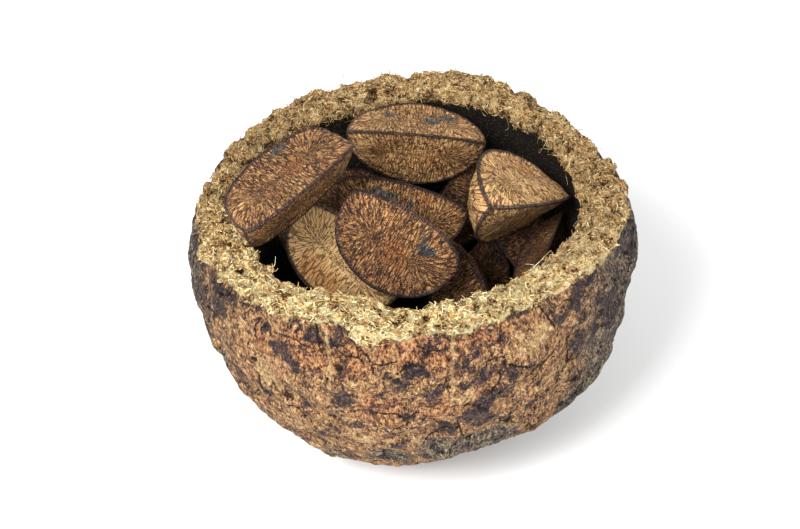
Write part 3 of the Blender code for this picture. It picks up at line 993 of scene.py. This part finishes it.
def sectionOf(place, form):
    # how far along the nut a place is, where in its section, and the size of the section there
    local = form["turn"] @ (place - form["middle"])
    share = min(1.0, abs(local.x) / form["half"])
    return local.x, Vector((local.y, local.z)), math.sqrt(1 - share * share) ** form["blunt"]


def markRidges(bm, form):
    # the edges that run from end to end along the corners of the section become seams, and stay crisp
    crease = bm.edges.layers.float.new("crease_edge")
    ridges = {}
    for vert in bm.verts:
        _, section, size = sectionOf(vert.co, form)
        reach = nutSurface["onRidge"] * size + 0.1 * mm
        ridges[vert] = {number for number, corner in enumerate(form["corners"])
                        if (section - corner * size * nutSurface["lipOut"]).length < reach}
    for edge in bm.edges:
        if ridges[edge.verts[0]] & ridges[edge.verts[1]]:
            edge.seam = True
            edge[crease] = nutSurface["crease"]


def strokePlace(place, form):
    # where a place lies in a pattern of strokes that stand across the face and fan out round its ends, in mm:
    # round the face, outwards from its middle line, and a different number for each side of that line
    along, section, size = sectionOf(place, form)
    corners = form["corners"]
    turn = math.atan2(section.y, section.x)
    turns = [math.atan2(corner.y, corner.x) for corner in corners]
    if turns[0] <= turn <= turns[1]:
        side, start, end = 0, corners[0], corners[1]
    elif turns[2] <= turn < turns[0]:
        side, start, end = 1, corners[2], corners[0]
    else:
        side, start, end = 2, corners[1], corners[2]
    across = (section - (start + end) / 2 * size).dot((end - start).normalized())
    spine = max(2 * mm, form["half"] - (end - start).length / 2)
    nearest = min(spine, max(-spine, along))
    out = math.hypot(along - nearest, across)
    lean = math.atan2(along - nearest, abs(across))
    number = side * 40 + (20 if across > 0 else 0)
    return Vector((nearest / mm + lean * nutSurface["turnRadius"], out / mm, number))


def refined(name, bm, levels):
    # the same shape with every face split, soft but for its creases
    mesh = bpy.data.meshes.new(name)
    bm.to_mesh(mesh)
    bm.free()
    rough = bpy.data.objects.new(name + "_rough", mesh)
    bpy.context.scene.collection.objects.link(rough)
    soft = rough.modifiers.new("soft", "SUBSURF")
    soft.levels = levels
    soft.render_levels = levels
    bpy.context.view_layer.update()
    fine = bpy.data.meshes.new_from_object(rough.evaluated_get(bpy.context.evaluated_depsgraph_get()))
    bpy.data.objects.remove(rough)
    bm = bmesh.new()
    bm.from_mesh(fine)
    bm.normal_update()
    bpy.data.meshes.remove(fine)
    return bm


def ridgeTree(bm):
    places = []
    for edge in bm.edges:
        if edge.seam:
            edge.seam = False
            a, b = (vert.co for vert in edge.verts)
            places += [a.copy(), (a + b) / 2]
    tree = KDTree(len(places))
    for index, place in enumerate(places):
        tree.insert(place, index)
    tree.balance()
    return tree


def buildNut(name, look, seed, material):
    bm = bmesh.new()
    bm.from_mesh(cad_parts[name].data)
    bmesh.ops.remove_doubles(bm, verts=bm.verts[:], dist=0.001 * mm)
    form = nutForm(bm, look)
    markRidges(bm, form)
    bm = refined(name, bm, nutSurface["fineLevels"] if "fine" in look else nutSurface["plainLevels"])
    ridges = ridgeTree(bm)
    tree = BVHTree.FromBMesh(bm)
    orange = spotsOn(tree, look.get("orange", ()))
    slate = spotsOn(tree, look.get("slate", ()))
    ridgeLayer = bm.verts.layers.float.new("ridge")
    orangeLayer = bm.verts.layers.float.new("orange")
    slateLayer = bm.verts.layers.float.new("slate")
    strokeLayer = bm.verts.layers.float_vector.new("stroke")
    shifts = []
    for vert in bm.verts:
        gap = ridges.find(vert.co)[2] / mm
        stroke = strokePlace(vert.co, form)
        vert[ridgeLayer] = min(gap, 9.0)
        vert[strokeLayer] = stroke + Vector((seed, 0, 0))
        vert[orangeLayer] = nearSpots(vert.co, orange)
        vert[slateLayer] = nearSpots(vert.co, slate)
        lip = nutSurface["lip"] * math.exp(-(gap / nutSurface["lipWidth"]) ** 2)
        groove = nutSurface["groove"] * math.exp(-((gap - 1.5) / 0.6) ** 2)
        across, along = nutSurface["wrinkle"]
        point = Vector((stroke.x / across + seed, stroke.y / along, stroke.z))
        rough = nutSurface["wrinkleDepth"] * 1.6 * noise.noise(point) * smoothStep(stroke.y, 1.5, 5.0)
        rough += relief(vert.co, *nutSurface["pimples"], seed)
        rough += relief(vert.co, *nutSurface["dents"], seed)
        rough *= smoothStep(gap, 0.2, 1.6)
        shifts.append(lip - groove + rough + relief(vert.co, *nutSurface["waves"], seed))
    for vert, shift in zip(bm.verts, shifts):
        vert.co = insideBox(vert.co + vert.normal * shift)
    return finishMesh(name + "_shell", bm, material, [name])


def nutMaterial(name, tanAndLight):
    material, tree, shader, place = newMaterial(name + "Shell")
    stroke = measured(tree, "stroke", "Vector")
    gap = measured(tree, "ridge")
    broad = grain(tree, place, 8 * mm, 3, 0.6)
    out = addNode(tree, "ShaderNodeSeparateXYZ", {"Vector": stroke}).outputs["Y"]
    wobbly = addWobble(tree, stroke, 2.2, 0.9)
    outer = band(tree, plus(tree, out, times(tree, broad, 3.0)), 1.8, 3.6)
    strokes = cells(tree, stretched(tree, wobbly, (1 / 0.8, 1 / 4.6, 1.0)), 1.0)
    plates = cells(tree, addWobble(tree, place, 1.2 * mm, 0.8 * mm), 0.85 * mm)
    gaps = addNode(tree, "ShaderNodeMix", {0: outer, 2: plates, 3: strokes}).outputs[0]
    depthHere = grain(tree, place, 1.5 * mm, 3, 0.6)
    creases = band(tree, gaps, 0.11, 0.02)
    creases = times(tree, creases, band(tree, depthHere, 0.32, 0.50))
    streaks = grain(tree, stretched(tree, wobbly, (1 / 0.42, 1 / 2.0, 1.0)), 1.0, 3, 0.65)
    speckle = grain(tree, place, 0.42 * mm, 3, 0.7)

    # brown body from its darkest crease to its tan tops: the tops of its relief are painted lighter as
    # painted highlight and the creases darker as painted shade
    level = plus(tree, times(tree, streaks, 0.45), times(tree, speckle, 0.55))
    level = plus(tree, level, 0.01)
    level = minus(tree, level, times(tree, creases, 0.05))
    level = plus(tree, level, bothWays(tree, broad, 0.22))
    # each nut's own tone, which holds painted light on nut_front_left
    level = plus(tree, level, (tanAndLight - 0.5) * 0.25)
    body = ramp(tree, level, (
        (0.36, 26, 15, 10), (0.43, 73, 46, 29), (0.49, 119, 80, 48),
        (0.56, 166, 120, 72), (0.65, 218, 176, 120),
    ))
    warm = ramp(tree, level, (
        (0.34, 36, 20, 11), (0.43, 92, 54, 28), (0.51, 140, 88, 47), (0.64, 188, 136, 84),
    ))
    orangeShare = plus(tree, measured(tree, "orange"), times(tree, broad, 0.35))
    colour = mixColour(tree, band(tree, orangeShare, 0.35, 1.1), body, warm)
    # painted shade in the creases
    colour = mixColour(tree, times(tree, creases, 0.68), colour, tone(38, 23, 15))
    ragged = bothWays(tree, grain(tree, place, 1.3 * mm, 4, 0.7), 1.6)
    slateShare = plus(tree, measured(tree, "slate"), ragged)
    slateShare = plus(tree, slateShare, times(tree, minus(tree, broad, 0.56), 2.0))
    slateTone = ramp(tree, level, ((0.38, 12, 18, 23), (0.47, 36, 45, 50), (0.60, 92, 92, 86)))
    slate = band(tree, slateShare, 0.25, 0.55)
    colour = mixColour(tree, times(tree, slate, 0.85), colour, slateTone)

    # the dark ridges
    rib = band(tree, plus(tree, gap, times(tree, ragged, 0.7)), 1.0, 0.5)
    ribTone = ramp(tree, speckle, ((0.40, 28, 18, 18), (0.52, 58, 38, 38), (0.66, 110, 84, 74)))
    colour = mixColour(tree, times(tree, rib, 0.9), colour, ribTone)
    tree.links.new(colour, shader.inputs["Base Color"])

    shader.inputs["Roughness"].default_value = 0.7
    shader.inputs["Specular IOR Level"].default_value = 0.3
    height = plus(tree, times(tree, streaks, 0.6), times(tree, speckle, 0.4))
    height = minus(tree, height, times(tree, creases, 0.55))
    setBump(tree, shader, height, 0.9 * mm)
    return material


def buildNuts():
    for number in range(4):
        name = f"nut_floor_{number + 1}"
        nuts[name] = floorNut(name)
    for number, (name, look) in enumerate(nuts.items()):
        seed = 7.3 * (number + 1)
        buildNut(name, look, seed, nutMaterial(name, look["tanAndLight"]))
        print(name, "built")


buildNuts()


# Floor and light

studio = {
    "floorSize": 6.0,
    "floorTone": (0.86, 0.86, 0.86, 1),
    "world": 0.85,
    "keyPlace": (-0.36, -0.62, 0.74),
    "keySize": 0.35,
    "keyPower": 12,
    "fillPlace": (0.25, -0.85, 0.38),
    "fillSize": 0.5,
    "fillPower": 6,
}


def makeLight(name, place, size, power):
    lamp = bpy.data.lights.new(name, "AREA")
    lamp.size = size
    lamp.energy = power
    light = bpy.data.objects.new(name, lamp)
    light.location = place
    light.rotation_euler = (podCentre - light.location).to_track_quat("-Z", "Y").to_euler()
    bpy.context.scene.collection.objects.link(light)


def makeStudio():
    bm = bmesh.new()
    bmesh.ops.create_grid(bm, x_segments=1, y_segments=1, size=studio["floorSize"] / 2)
    mesh = bpy.data.meshes.new("floor")
    bm.to_mesh(mesh)
    bm.free()
    paper, _, shader, _ = newMaterial("palePaper")
    shader.inputs["Base Color"].default_value = studio["floorTone"]
    shader.inputs["Roughness"].default_value = 0.9
    mesh.materials.append(paper)
    floor = bpy.data.objects.new("floor", mesh)
    bpy.context.scene.collection.objects.link(floor)
    makeLight("keyLight", studio["keyPlace"], studio["keySize"], studio["keyPower"])
    makeLight("fillLight", studio["fillPlace"], studio["fillSize"], studio["fillPower"])
    world = bpy.data.worlds.new("studio")
    world.use_nodes = True
    sky = world.node_tree.nodes["Background"]
    sky.inputs["Color"].default_value = (1, 1, 1, 1)
    sky.inputs["Strength"].default_value = studio["world"]
    bpy.context.scene.world = world
    bpy.context.scene.view_settings.view_transform = "Standard"


makeStudio()
print("studio set")
